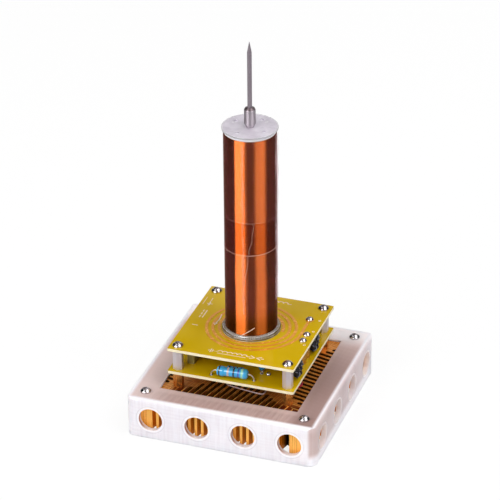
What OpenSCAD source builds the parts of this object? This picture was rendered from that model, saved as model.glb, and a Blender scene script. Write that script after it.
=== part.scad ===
// Desktop resonant transformer: a secondary coil with a needle electrode stands on two
// stacked boards, which a finned heatsink carries inside a vented printed base.
// Origin: centre of the base on the table. The front, with the large resistor, faces -Y.

/* [Base housing] */
// Outer width and depth of the square base
base_w = 105; // [98:1:130]
// Height of the base
base_h = 23.2; // [21.5:0.1:34]
// Thickness of the side walls
base_wall = 2.9; // [2.4:0.1:4]
// Thickness of the rim that lies over the heatsink
rim_t = 1.2; // [0.8:0.1:2.4]
// Width of the rim round its square opening
rim_w = 14.15; // [13.5:0.05:14.8]
// Radius of the upright corners
corner_r = 5; // [2:0.5:8]
// Radius of the rounded top edge
edge_r = 1.5; // [0.5:0.1:2.5]
// Height of the wall below the air vents
vent_floor = 4.8; // [2:0.05:6]
// Height of the wall above the air vents
vent_roof = 5.2; // [3:0.05:7]
// Distance from the outer faces to the first vent centre
vent_end = 14; // [12:0.05:18]
// Vents on each side
vent_count = 4; // [2:1:4]
// Distance from each screw in the rim to the outer faces
rim_screw_inset = 8.5; // [7.5:0.1:9.5]

/* [Heatsink] */
// Air gap between the heatsink and the table
sink_foot_gap = 3; // [1:0.1:8]
// Gap between the heatsink and the side walls
sink_gap = 1.85; // [0.3:0.05:2.4]
// Distance between neighbouring fins
fin_pitch = 3.6; // [3:0.05:5]
// Width of the slots between the fins
slot_w = 2.1; // [1.2:0.05:2.3]
// Lean of the slots away from square, in degrees
slot_lean = 14; // [0:1:20]
// Width of the solid diagonal arms
arm_w = 9; // [7:0.5:12]
// Width of the solid core
core_w = 34; // [32:1:44]

/* [Boards] */
// Board width as a share of the base width
board_share = 0.6667; // [0.65:0.001:0.69]
// Thickness of both boards
board_t = 1.6; // [1.2:0.1:2.4]
// Distance from each corner hole to the board edges
board_inset = 4.5; // [4:0.1:5.5]
// Radius of the board corners
board_r = 0.8; // [0.4:0.1:2]
// Length of the hexagonal part of the lower standoffs
low_standoff_h = 9; // [8:0.5:15]
// Length of the hexagonal part of the upper standoffs
high_standoff_h = 12; // [12:0.5:20]
// Distance across the flats of the standoffs
standoff_af = 5; // [4.5:0.1:5.5]
// Length of the threaded stud under each standoff
stud_l = 5; // [3:0.5:6]

/* [Screws] */
// Shank diameter of the large screws
screw_d = 3; // [2.6:0.1:3.2]
// Head diameter of the large screws
screw_head_d = 5.7; // [5.2:0.1:6]
// Head height of the large screws
screw_head_h = 2.2; // [1.6:0.1:2.6]
// Shank length of the large screws
screw_l = 6; // [5:0.5:7]
// Shank diameter of the tap screws
tap_screw_d = 2; // [1.6:0.1:2.2]
// Head diameter of the tap screws
tap_head_d = 4.1; // [3.6:0.1:4.4]
// Head height of the tap screws
tap_head_h = 1.6; // [1.2:0.1:2]
// Shank length of the tap screws
tap_screw_l = 5; // [4:0.5:7]
// Radial play of every screw and stud in its hole
thread_play = 0.05; // [0.03:0.01:0.1]

/* [Coil] */
// Outer diameter of the coil former
former_d = 27.2; // [25:0.1:28]
// Wall thickness of the coil former
former_wall = 3.1; // [3:0.1:5]
// Length of the coil former
former_h = 117.3; // [80:0.1:160]
// Thickness of the wound copper layer
winding_t = 0.3; // [0.2:0.05:0.6]
// Thickness of the clear film over the winding
film_t = 0.2; // [0.1:0.05:0.4]
// Bare length of former below the winding
winding_low = 2.6; // [2:0.1:8]
// Bare length of former above the winding
winding_high = 0.3; // [0.2:0.1:5]
// Height of the clear collar at the foot of the coil
collar_h = 2.5; // [1.5:0.1:4]
// Radial thickness of the collar at the board
collar_t = 1.7; // [1:0.1:2]

/* [Primary winding] */
// Gap between the collar and the middle of the innermost turn
turn_gap = 1.4; // [1.2:0.1:2]
// Gap between the outermost turn and the head of the nearest tap screw
turn_head_gap = 0.3; // [0.2:0.1:0.8]
// Full turns
turn_count = 3; // [1:1:3]
// Width of the copper track
track_w = 1.6; // [1:0.1:2]
// Thickness of the copper track
track_t = 0.15; // [0.1:0.05:0.3]

/* [Electrode] */
// Overhang of the top disc over the winding
disc_over = 0.85; // [0.4:0.05:3]
// Thickness of the top disc
disc_t = 0.7; // [0.5:0.1:2.5]
// Diameter of the small holes in the top disc
disc_hole_d = 2.2; // [1.5:0.1:3]
// Distance of the small holes from the centre, as a share of the disc diameter
disc_hole_share = 0.332; // [0.28:0.002:0.38]
// Thickness of the pale cap flange under the disc
cap_flange_t = 1.3; // [1:0.1:3]
// Depth of the cap spigot inside the former
cap_spigot_h = 5; // [4:0.5:8]
// Diameter of the needle holder
holder_d = 6; // [5:0.1:8]
// Height of the needle holder
holder_h = 10.8; // [9.5:0.1:16]
// Diameter of the needle
needle_d = 2.4; // [1.8:0.1:3]
// Free length of the needle above its holder
needle_out = 36.8; // [20:0.1:60]
// Length of the sharp cone
needle_cone = 5.8; // [3:0.1:10]
// Depth of the socket in the needle holder
socket_depth = 6.5; // [5:0.1:6.8]
// Radial play of the needle in its socket
needle_play = 0.05; // [0.02:0.01:0.1]

/* [Driver parts] */
// Body diameter of the large resistor
big_res_d = 5.5; // [3.5:0.1:5.8]
// Body length of the large resistor
big_res_l = 17; // [12:0.1:18]
// Body diameter of the small resistor
small_res_d = 3.2; // [2.5:0.1:3.6]
// Body length of the small resistor
small_res_l = 9.6; // [7:0.1:12]
// Diameter of the resistor leads
lead_d = 0.8; // [0.5:0.1:1]
// Height of the resistor bodies above the board
res_lift = 0.4; // [0.2:0.1:1]
// Mean radius of the choke cores
choke_r = 3.3; // [3:0.1:3.4]
// Section diameter of the choke cores
choke_core_d = 2.6; // [1.8:0.1:2.6]
// Diameter of the choke wire
choke_wire_d = 0.6; // [0.4:0.05:0.6]
// Loops on each choke
choke_loops = 8; // [4:1:8]
// Diameter of the small disc capacitor
disc_cap_d = 5; // [4:0.1:8]
// Thickness of the small disc capacitor
disc_cap_t = 3.4; // [2:0.1:4]
// Diameter of the filter capacitor
can_d = 8; // [5:0.5:10]
// Height of the filter capacitor
can_h = 10.5; // [7:0.5:11]
// Inner diameter of the power inlet
inlet_bore = 6.3; // [5:0.1:6.5]
// Diameter of the contact pin in the power inlet
inlet_pin_d = 2; // [1.3:0.1:2.5]
// Depth of the power inlet
inlet_depth = 9.5; // [8:0.1:11]

/* [Hidden] */

$fn = 64;
overrun = 1;
flat = 2 * sqrt(1 / 3);

// Sizes that follow from others
board_w = base_w * board_share;
rim_open = base_w - 2 * rim_w;
vent_d = base_h - vent_floor - vent_roof;
vent_z = vent_floor + vent_d / 2;
vent_pitch = (base_w - 2 * vent_end) / (vent_count - 1);
sink_h = base_h - rim_t - sink_foot_gap;
former_bore = former_d - 2 * former_wall;
wound_d = former_d + 2 * winding_t;
film_d = wound_d + 2 * film_t;
wound_h = former_h - winding_low - winding_high;
collar_d = film_d + 2 * collar_t;
turn_in_r = collar_d / 2 + turn_gap;
disc_d = wound_d + 2 * disc_over;

// Levels, from the table up
z_sink_top = base_h - rim_t;
z_sink = sink_foot_gap;
z_driver = z_sink_top + low_standoff_h;
z_driver_top = z_driver + board_t;
z_primary = z_driver_top + high_standoff_h;
z_primary_top = z_primary + board_t;
z_former_top = z_primary_top + former_h;
z_disc = z_former_top + cap_flange_t;
z_disc_top = z_disc + disc_t;
z_holder_top = z_disc_top + holder_h;

// Places shared by several pieces
board_screw_xy = board_w / 2 - board_inset;
rim_screw_xy = base_w / 2 - rim_screw_inset;
sink_half = base_w / 2 - base_wall - sink_gap;
hole_play_d = screw_d + 2 * thread_play;
tap_hole_d = tap_screw_d + 2 * thread_play;
post_af = 3.2;
tap_shares = [[0.387, 0.241], [0.436, 0.02], [0.436, -0.073]];
tap_places = [for (s = tap_shares) board_w * s];
turn_out_r = norm(tap_places[1]) - tap_head_d / 2 - turn_head_gap - track_w / 2;
turn_pitch = (turn_out_r - turn_in_r) / turn_count;

// Four copies, one in each corner
module corners(d) {
    for (sx = [-1, 1], sy = [-1, 1]) translate([sx * d, sy * d, 0]) children();
}

// A domed screw with a cross recess, head up, its seat at z = 0
module pan_screw(d, head_d, head_h, l) {
    slot_share = 0.13;
    slot_len_share = 0.56;
    depth_share = 0.5;
    difference() {
        union() {
            rotate_extrude() pan_profile(head_d / 2, head_h);
            translate([0, 0, -l]) cylinder(d = d, h = l + head_h / 2);
        }
        for (a = [0, 90]) rotate([0, 0, a])
            translate([-head_d * slot_len_share / 2, -head_d * slot_share / 2, head_h * (1 - depth_share)])
                cube([head_d * slot_len_share, head_d * slot_share, head_h * depth_share + overrun]);
    }
}

// Half section of a screw head: a short straight side under a round dome
module pan_profile(r, h) {
    side_share = 0.3;
    side = h * side_share;
    rise = h - side;
    dome_r = (r * r + rise * rise) / (2 * rise);
    steps = 8;
    top_angle = asin(r / dome_r);
    polygon(concat([[0, 0], [r, 0]],
        [for (i = [0 : steps]) let (a = top_angle * (1 - i / steps))
            [dome_r * sin(a), h - dome_r + dome_r * cos(a)]]));
}

// A hexagonal standoff with a threaded stud below and a threaded hole above
module standoff(af, l, d, stud, depth) {
    difference() {
        union() {
            rotate([0, 0, 30]) cylinder(d = af * flat, h = l, $fn = 6);
            translate([0, 0, -stud]) cylinder(d = d, h = stud + l / 4);
        }
        translate([0, 0, l - depth]) cylinder(d = d + 2 * thread_play, h = depth + overrun);
    }
}

// A square plate with rounded corners
module round_square(w, r) {
    union() {
        square([w, w - 2 * r], center = true);
        square([w - 2 * r, w], center = true);
        corners(w / 2 - r) circle(r);
    }
}

module base_housing() {
    cavity = base_w - 2 * base_wall;
    first_vent = -(vent_count - 1) * vent_pitch / 2;
    color([0.93, 0.91, 0.94]) difference() {
        intersection() {
            linear_extrude(base_h) round_square(base_w, corner_r);
            for_side() base_section();
            rotate([0, 0, 90]) for_side() base_section();
        }
        translate([-cavity / 2, -cavity / 2, -overrun]) cube([cavity, cavity, z_sink_top + overrun]);
        translate([-rim_open / 2, -rim_open / 2, 0]) cube([rim_open, rim_open, base_h + overrun]);
        corners(rim_screw_xy) cylinder(d = screw_d + 4 * thread_play, h = base_h + overrun);
        for (turn = [0, 90], i = [0 : vent_count - 1]) rotate([0, 0, turn])
            translate([first_vent + i * vent_pitch, -base_w / 2 - overrun, vent_z])
                rotate([-90, 0, 0]) cylinder(d = vent_d, h = base_w + 2 * overrun);
    }
}

// Carries a flat section along Y over the whole base
module for_side() {
    rotate([90, 0, 0]) translate([0, 0, -base_w / 2 - overrun]) linear_extrude(base_w + 2 * overrun)
        children();
}

// Section of the base with its two rounded top edges
module base_section() {
    half = base_w / 2;
    union() {
        translate([-half, 0]) square([base_w, base_h - edge_r]);
        translate([-half + edge_r, 0]) square([base_w - 2 * edge_r, base_h]);
        for (s = [-1, 1]) translate([s * (half - edge_r), base_h - edge_r]) circle(edge_r);
    }
}

module rim_screws() {
    color([0.72, 0.71, 0.7]) corners(rim_screw_xy) translate([0, 0, base_h])
        pan_screw(screw_d, screw_head_d, screw_head_h, screw_l + rim_t);
}

// How far a slot that starts at x on the front face runs inward before the arms or the core stop it
first_slot_share = 0.8;
notch_left_share = 0.664;
notch_right_share = 0.775;
function slot_run(x) = let (
        keep = (arm_w + slot_w) / sqrt(2),
        left = (sink_half + x - keep) / (cos(slot_lean) - sin(slot_lean)),
        right = (sink_half - x - keep) / (cos(slot_lean) + sin(slot_lean)),
        core = (sink_half - core_w / 2 - slot_w / 2) / cos(slot_lean)
    ) min(left, right, core);

// Outline of one slot on the front face, from its left mouth round its end to its right mouth
function slot_outline(x) = let (
        run = slot_run(x),
        along = [sin(slot_lean), cos(slot_lean)],
        side = [cos(slot_lean), -sin(slot_lean)],
        half = slot_w / 2,
        mouth = half / cos(slot_lean),
        end = [x, -sink_half] + along * run
    ) concat([[x - mouth, -sink_half]],
        [for (a = [0 : 30 : 180]) end - side * half * cos(a) + along * half * sin(a)],
        [[x + mouth, -sink_half]]);

// The last recess on each side is wide and shallow, beside the solid corner
function corner_notch() = let (
        left = sink_half * notch_left_share,
        right = sink_half * notch_right_share,
        lean = tan(slot_lean),
        left_run = (sink_half - left - arm_w / sqrt(2)) / (1 + lean),
        right_run = (sink_half - right - arm_w / sqrt(2)) / (1 + lean)
    ) [[left, -sink_half], [left + left_run * lean, -sink_half + left_run],
        [right + right_run * lean, -sink_half + right_run], [right, -sink_half]];

module heatsink() {
    first_slot = -sink_half * first_slot_share;
    last_slot = sink_half * notch_left_share - slot_w;
    slots = floor((last_slot - first_slot) / fin_pitch);
    front = concat([[-sink_half, -sink_half]],
        [for (i = [0 : slots]) each slot_outline(first_slot + i * fin_pitch)],
        corner_notch());
    outline = [for (q = [0 : 3]) for (p = front)
        [p[0] * cos(90 * q) - p[1] * sin(90 * q), p[0] * sin(90 * q) + p[1] * cos(90 * q)]];
    color([0.78, 0.5, 0.16]) difference() {
        translate([0, 0, z_sink]) linear_extrude(sink_h) polygon(outline);
        corners(board_screw_xy) translate([0, 0, z_sink_top - stud_l - overrun])
            cylinder(d = hole_play_d, h = stud_l + 2 * overrun);
        corners(rim_screw_xy) translate([0, 0, z_sink_top - screw_l - overrun])
            cylinder(d = hole_play_d, h = screw_l + 2 * overrun);
        for (s = [-1, 1]) translate([s * transistor_x, transistor_hole_y, z_sink_top - screw_l])
            cylinder(d = hole_play_d, h = screw_l + overrun);
    }
}

module lower_standoffs() {
    color([0.86, 0.78, 0.62]) corners(board_screw_xy) translate([0, 0, z_sink_top])
        standoff(standoff_af, low_standoff_h, screw_d, stud_l, min(low_standoff_h, stud_l + overrun));
}

// Power transistors lie flat on the core of the heatsink
transistor_x = 9;
transistor_w = 10;
tab_l = 15.4;
tab_t = 1.3;
case_l = 9.2;
case_t = 4.4;
leg_w = 0.8;
leg_t = 0.5;
leg_pitch = 2.54;
leg_run = 4.5;
pad_t = 0.3;
pad_margin = 0.6;
transistor_y = -9;
tab_hole_in = 2.9;
tab_hole_play = 0.3;
transistor_hole_y = transistor_y + tab_hole_in;
transistor_hole_d = screw_d + 2 * tab_hole_play;

module insulating_pads() {
    color([0.8, 0.79, 0.76]) for (s = [-1, 1]) difference() {
        translate([s * transistor_x - transistor_w / 2 - pad_margin, transistor_y - pad_margin, z_sink_top])
            cube([transistor_w + 2 * pad_margin, tab_l + 2 * pad_margin, pad_t]);
        translate([s * transistor_x, transistor_hole_y, z_sink_top - overrun])
            cylinder(d = transistor_hole_d, h = pad_t + 2 * overrun);
    }
}

// One power transistor: metal tab, moulded case and three legs that rise to the driver board
module power_transistor(x) {
    leg_z = z_sink_top + pad_t + case_t / 2;
    leg_y = transistor_y + tab_l;
    union() {
        color([0.7, 0.7, 0.7]) difference() {
            translate([x - transistor_w / 2, transistor_y, z_sink_top + pad_t])
                cube([transistor_w, tab_l, tab_t]);
            translate([x, transistor_hole_y, z_sink_top])
                cylinder(d = transistor_hole_d, h = pad_t + tab_t + overrun);
        }
        color([0.12, 0.12, 0.12])
            translate([x - transistor_w / 2, leg_y - case_l, z_sink_top + pad_t + tab_t / 2])
            cube([transistor_w, case_l, case_t - tab_t / 2]);
        color([0.75, 0.75, 0.74]) for (i = [-1 : 1]) translate([x + i * leg_pitch - leg_w / 2, leg_y, 0]) {
            translate([0, -leg_w, leg_z]) cube([leg_w, leg_run + leg_w, leg_t]);
            translate([0, leg_run - leg_t, leg_z]) cube([leg_w, leg_t, z_driver - leg_z]);
        }
    }
}

module power_transistor_left() {
    power_transistor(-transistor_x);
}

module power_transistor_right() {
    power_transistor(transistor_x);
}

module transistor_screws() {
    color([0.72, 0.71, 0.7]) for (s = [-1, 1])
        translate([s * transistor_x, transistor_hole_y, z_sink_top + pad_t + tab_t])
            pan_screw(screw_d, screw_head_d, screw_head_h, screw_l);
}

module driver_board() {
    color([0.76, 0.69, 0.1]) difference() {
        translate([0, 0, z_driver]) linear_extrude(board_t) round_square(board_w, board_r);
        corners(board_screw_xy) translate([0, 0, z_driver - overrun])
            cylinder(d = hole_play_d, h = board_t + 2 * overrun);
        for (p = tap_places) translate([p[0], p[1], z_driver - overrun])
            cylinder(d = tap_hole_d, h = board_t + 2 * overrun);
    }
}

module upper_standoffs() {
    color([0.84, 0.83, 0.82]) corners(board_screw_xy) translate([0, 0, z_driver_top])
        standoff(standoff_af, high_standoff_h, screw_d, board_t + stud_l - overrun, screw_l);
}

// An axial resistor along X with bulged ends and two leads that bend round down to the board
module axial_resistor(d, l) {
    cap_share = 0.2;
    waist_share = 0.88;
    lead_share = 0.187;
    bend_share = 0.9;
    axis_z = d / 2 + res_lift;
    reach = l * lead_share;
    bend_r = min(reach, axis_z) * bend_share;
    end_x = l / 2 + reach;
    union() {
        color([0.1, 0.55, 0.85]) translate([-l / 2, 0, axis_z]) rotate([0, 90, 0])
            rotate_extrude() resistor_profile(d / 2, l, l * cap_share, waist_share);
        color([0.8, 0.78, 0.74]) for (turn = [0, 180]) rotate([0, 0, turn]) {
            translate([l / 2 - d / 4, 0, axis_z]) rotate([0, 90, 0])
                cylinder(d = lead_d, h = d / 4 + reach - bend_r + overrun);
            translate([end_x - bend_r, 0, axis_z - bend_r]) rotate([90, 0, 0])
                rotate_extrude(angle = 90) translate([bend_r, 0]) circle(lead_d / 2);
            translate([end_x, 0, 0]) cylinder(d = lead_d, h = axis_z - bend_r + overrun);
        }
    }
}

// Half section of a resistor body along its axis: two round caps joined by a thinner waist
module resistor_profile(r, l, cap, waist) {
    round_share = 0.6;
    slope_share = 0.3;
    neck = r * waist;
    round_r = min(cap, r) * round_share;
    slope_end = cap * (1 + slope_share);
    steps = 5;
    start = [for (i = [0 : steps]) let (a = 90 * i / steps)
        [r - round_r + round_r * sin(a), round_r - round_r * cos(a)]];
    finish = [for (i = [steps : -1 : 0]) [start[i][0], l - start[i][1]]];
    polygon(concat([[0, 0]], start, [[r, cap], [neck, slope_end], [neck, l - slope_end], [r, l - cap]],
        finish, [[0, l]]));
}

resistor_turn = 3.5;
large_res_share = -0.44;
small_res_share = -0.368;

module large_resistor() {
    translate([0, board_w * large_res_share, z_driver_top]) rotate([0, 0, resistor_turn])
        axial_resistor(big_res_d, big_res_l);
}

module small_resistor() {
    translate([0, board_w * small_res_share, z_driver_top]) rotate([0, 0, resistor_turn])
        axial_resistor(small_res_d, small_res_l);
}

disc_cap_shares = [0.186, -0.296];
disc_cap_place = board_w * disc_cap_shares;
disc_cap_lift = 1.4;
disc_cap_pitch = 2.5;

module disc_capacitor() {
    lens_share = 0.3;
    union() {
        color([0.12, 0.5, 0.78]) translate([disc_cap_place[0] - disc_cap_t / 2, disc_cap_place[1],
                z_driver_top + disc_cap_lift + disc_cap_d / 2])
            rotate([0, 90, 0]) rotate_extrude() polygon([[0, 0], [disc_cap_d / 2 - disc_cap_t * lens_share, 0],
                [disc_cap_d / 2, disc_cap_t * lens_share], [disc_cap_d / 2, disc_cap_t * (1 - lens_share)],
                [disc_cap_d / 2 - disc_cap_t * lens_share, disc_cap_t], [0, disc_cap_t]]);
        color([0.8, 0.78, 0.74]) for (s = [-1, 1])
            translate([disc_cap_place[0], disc_cap_place[1] + s * disc_cap_pitch / 2, z_driver_top])
                cylinder(d = lead_d, h = disc_cap_lift + disc_cap_d / 2);
    }
}

film_cap_shares = [-0.366, -0.28];
film_cap_place = board_w * film_cap_shares;
film_cap_size = [4, 10, 8.5];
film_cap_r = 0.5;

module film_capacitor() {
    color([0.85, 0.82, 0.55]) translate([film_cap_place[0], film_cap_place[1], z_driver_top])
        linear_extrude(film_cap_size[2]) union() {
            square([film_cap_size[0], film_cap_size[1] - 2 * film_cap_r], center = true);
            square([film_cap_size[0] - 2 * film_cap_r, film_cap_size[1]], center = true);
            for (sx = [-1, 1], sy = [-1, 1])
                translate([sx * (film_cap_size[0] / 2 - film_cap_r), sy * (film_cap_size[1] / 2 - film_cap_r)])
                    circle(film_cap_r);
        }
}

can_shares = [-0.02, 0.33];
can_place = board_w * can_shares;

// A can capacitor with a groove near its foot
module filter_capacitor() {
    groove_share = 0.2;
    groove = 0.5;
    r = can_d / 2;
    g = can_h * groove_share;
    color([0.14, 0.15, 0.2]) translate([can_place[0], can_place[1], z_driver_top]) rotate_extrude()
        polygon([[0, 0], [r, 0], [r, g - groove], [r - groove, g], [r, g + groove], [r, can_h - groove],
            [r - groove, can_h], [0, can_h]]);
}

chip_shares = [-0.1, 0.1];
chip_place = board_w * chip_shares;
chip_size = [9.8, 6.4, 3.4];
chip_lift = 0.6;
chip_row = 7.6;
chip_legs = 4;

module driver_chip() {
    notch_r = 0.8;
    translate([chip_place[0], chip_place[1], z_driver_top]) union() {
        color([0.1, 0.1, 0.11]) difference() {
            translate([-chip_size[0] / 2, -chip_size[1] / 2, chip_lift]) cube(chip_size);
            translate([-chip_size[0] / 2, 0, chip_size[2]]) cylinder(r = notch_r, h = chip_lift + overrun);
        }
        color([0.75, 0.75, 0.74]) for (i = [0 : chip_legs - 1]) {
            leg_x = (i - (chip_legs - 1) / 2) * leg_pitch - leg_w / 2;
            translate([leg_x, -chip_row / 2, chip_lift + chip_size[2] / 2 - leg_t])
                cube([leg_w, chip_row, leg_t]);
            for (s = [0, 1]) translate([leg_x, -chip_row / 2 + s * (chip_row - leg_t), 0])
                cube([leg_w, leg_t, chip_lift + chip_size[2] / 2]);
        }
    }
}

// Upright ring chokes near the right edge of the driver board, with their axes along X
choke_inset = 2.4;
choke_air = 0.05;
choke_front_gap = 2.8;
choke_rear_gap = 0.3;
choke_loop_r = choke_core_d / 2 + choke_air + choke_wire_d / 2;
choke_lift = choke_r + choke_loop_r + choke_wire_d / 2;
choke_x = board_w / 2 - choke_inset;
choke_front_y = -board_screw_xy + standoff_af * flat / 2 + choke_front_gap + choke_lift;
choke_rear_y = tap_places[1][1] + post_af * flat / 2 + choke_rear_gap + choke_lift;
choke_sweep = 330;
loop_rings = 24;
wire_sides = 6;
choke_steps = choke_loops * loop_rings;

// A point of the choke winding; t runs from 0 to 1 along the whole wire
function choke_turn(t) = -90 + (360 - choke_sweep) / 2 + choke_sweep * t;
function choke_point(t) = let (
        a = choke_turn(t),
        loop = 360 * choke_loops * t,
        reach = choke_r + choke_loop_r * cos(loop)
    ) [choke_loop_r * sin(loop), reach * cos(a), reach * sin(a)];
function choke_foot(t, drop) = choke_point(t) - [0, 0, drop];
function choke_drop(t) = choke_point(t)[2] + choke_lift;
choke_path = concat(
    [choke_foot(0, choke_drop(0)), choke_foot(0, choke_drop(0) / 2)],
    [for (i = [0 : choke_steps]) choke_point(i / choke_steps)],
    [choke_foot(1, choke_drop(1) / 2), choke_foot(1, choke_drop(1))]);
choke_refs = concat(
    [choke_ref(0), choke_ref(0)],
    [for (i = [0 : choke_steps]) choke_ref(i / choke_steps)],
    [choke_ref(1), choke_ref(1)]);
function choke_ref(t) = let (a = choke_turn(t)) [0, -sin(a), cos(a)];

// Least distance between wire surfaces of different loops, measured on the path's points
choke_gap = min([for (i = [0 : choke_steps - loop_rings]) for (j = [i + loop_rings * 3 / 4 : choke_steps])
    norm(choke_point(i / choke_steps) - choke_point(j / choke_steps))]) - choke_wire_d;
echo(least_gap_between_choke_loops = choke_gap);

function unit(v) = v / norm(v);

// A closed round tube through the points of a path; refs are directions never along the path
module tube(path, refs, r, sides) {
    last = len(path) - 1;
    rings = [for (i = [0 : last]) let (
            before = path[max(i - 1, 0)],
            after = path[min(i + 1, last)],
            t = unit(after - before),
            u = unit(refs[i] - t * (refs[i] * t)),
            v = cross(t, u)
        ) [for (k = [0 : sides - 1]) path[i] + r * (u * cos(360 * k / sides) + v * sin(360 * k / sides))]];
    points = [for (ring = rings) each ring];
    walls = [for (i = [0 : last - 1]) for (k = [0 : sides - 1]) let (
            a = i * sides + k,
            b = i * sides + (k + 1) % sides,
            c = a + sides,
            d = b + sides
        ) each [[a, c, b], [b, c, d]]];
    start = [for (k = [1 : sides - 2]) [0, k, k + 1]];
    finish = [for (k = [1 : sides - 2]) [last * sides, last * sides + k + 1, last * sides + k]];
    polyhedron(points, concat(walls, start, finish), convexity = 10);
}

module choke_core(y) {
    color([0.08, 0.08, 0.1]) translate([choke_x, y, z_driver_top + choke_lift])
        rotate([0, 90, 0]) rotate_extrude() translate([choke_r, 0]) circle(d = choke_core_d);
}

module choke_winding(y) {
    color([0.12, 0.13, 0.22]) translate([choke_x, y, z_driver_top + choke_lift])
        tube(choke_path, choke_refs, choke_wire_d / 2, wire_sides);
}

module choke_core_front() {
    choke_core(choke_front_y);
}

module choke_winding_front() {
    choke_winding(choke_front_y);
}

module choke_core_rear() {
    choke_core(choke_rear_y);
}

module choke_winding_rear() {
    choke_winding(choke_rear_y);
}

// Barrel power inlet at the left edge of the driver board, its mouth facing -X
inlet_share = 0.115;
inlet_y = board_w * inlet_share;
inlet_out = 1.5;
inlet_back = 3;
inlet_w = 9;
inlet_h = 10.8;
inlet_axis_z = 6.2;
inlet_x = -board_w / 2 - inlet_out;

module power_inlet() {
    color([0.1, 0.1, 0.1]) difference() {
        translate([inlet_x, inlet_y - inlet_w / 2, z_driver_top])
            cube([inlet_depth + inlet_back, inlet_w, inlet_h]);
        translate([inlet_x - overrun, inlet_y, z_driver_top + inlet_axis_z]) rotate([0, 90, 0])
            cylinder(d = inlet_bore, h = inlet_depth + overrun);
        translate([inlet_x - overrun, inlet_y - inlet_w / 2 - overrun, z_driver - overrun])
            cube([inlet_out + overrun, inlet_w + 2 * overrun, board_t + overrun]);
    }
}

module inlet_pin() {
    tip = 0.5;
    color([0.8, 0.8, 0.8]) translate([inlet_x + tip, inlet_y, z_driver_top + inlet_axis_z])
        rotate([0, 90, 0]) rotate_extrude() polygon([[0, 0], [inlet_pin_d / 2 - tip / 2, 0],
            [inlet_pin_d / 2, tip], [inlet_pin_d / 2, inlet_depth - tip], [0, inlet_depth - tip]]);
}

// Brass posts that carry the current from the driver board up to the taps of the primary
module tap_posts() {
    color([0.8, 0.6, 0.28]) for (p = tap_places) translate([p[0], p[1], z_driver_top])
        standoff(post_af, high_standoff_h, tap_screw_d, board_t, tap_screw_l);
}

// Hook-up leads that hang under the driver board: the places of their points, as shares of the
// board width, and how far each point hangs below the board
red_lead_d = 0.8;
red_shares = [[0.386, -0.12], [0.386, -0.12], [0.402, -0.14], [0.44, -0.18], [0.474, -0.222],
    [0.49, -0.264], [0.478, -0.306], [0.446, -0.33], [0.408, -0.332], [0.386, -0.314], [0.386, -0.314]];
red_drops = [0, 1.4, 3, 3.6, 3.6, 3.4, 3.4, 3.4, 3, 1.4, 0];
pale_lead_d = 0.6;
pale_shares = [[-0.12, -0.286], [-0.12, -0.286], [-0.109, -0.331], [-0.08, -0.38], [-0.039, -0.419],
    [0.059, -0.44], [0.151, -0.454], [0.22, -0.464], [0.249, -0.456], [0.257, -0.423],
    [0.26, -0.389], [0.26, -0.377], [0.26, -0.377]];
pale_drops = [0, 1.4, 3.2, 4.2, 4.5, 4.5, 4.5, 4.5, 4.4, 4.1, 3, 1.4, 0];
lead_steps = 4;
lead_sides = 8;
lead_ref = [1, 0.9, 0.2];

// A smooth curve through the points of a route, straight at both ends
function curve_point(route, i, s) = let (
        a = route[i - 1],
        b = route[i],
        c = route[i + 1],
        d = route[i + 2]
    ) b + s * (c - a) / 2 + s * s * (2 * a - 5 * b + 4 * c - d) / 2 + s * s * s * (3 * b - a - 3 * c + d) / 2;

module lead_wire(shares, drops, d) {
    last = len(shares) - 1;
    route = [for (i = [0 : last]) [board_w * shares[i][0], board_w * shares[i][1], z_driver - drops[i]]];
    path = concat([route[0]],
        [for (i = [1 : last - 2]) for (k = [0 : lead_steps - 1]) curve_point(route, i, k / lead_steps)],
        [route[last - 1], route[last]]);
    tube(path, [for (p = path) lead_ref], d / 2, lead_sides);
}

module red_lead() {
    color([0.7, 0.08, 0.25]) lead_wire(red_shares, red_drops, red_lead_d);
}

module pale_lead() {
    color([0.85, 0.8, 0.82]) lead_wire(pale_shares, pale_drops, pale_lead_d);
}

module primary_board() {
    lead_hole_d = 1.2;
    color([0.78, 0.71, 0.1]) difference() {
        translate([0, 0, z_primary]) linear_extrude(board_t) round_square(board_w, board_r);
        corners(board_screw_xy) translate([0, 0, z_primary - overrun])
            cylinder(d = hole_play_d, h = board_t + 2 * overrun);
        for (p = tap_places) translate([p[0], p[1], z_primary - overrun])
            cylinder(d = tap_hole_d, h = board_t + 2 * overrun);
        translate([0, 0, z_primary - overrun]) cylinder(d = lead_hole_d, h = board_t + 2 * overrun);
    }
}

// The primary spiral: round turns, each stepping inward over its first part. The outermost one starts
// where the straight run from the first tap touches it
step_share = 0.21;
spiral_step = 8;
spiral_start = atan2(tap_places[0][1], tap_places[0][0])
    - acos(turn_out_r / norm(tap_places[0]));
function ease(s) = s * s * (3 - 2 * s);
function turns_in(t) = floor(t) + ease(min(1, (t - floor(t)) / step_share));
function spiral_r(t) = turn_in_r + turn_pitch * (turn_count - turns_in(t));
function spiral_point(t, side) = let (a = spiral_start - 360 * t, r = spiral_r(t) + side * track_w / 2)
    [r * cos(a), r * sin(a)];

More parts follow.
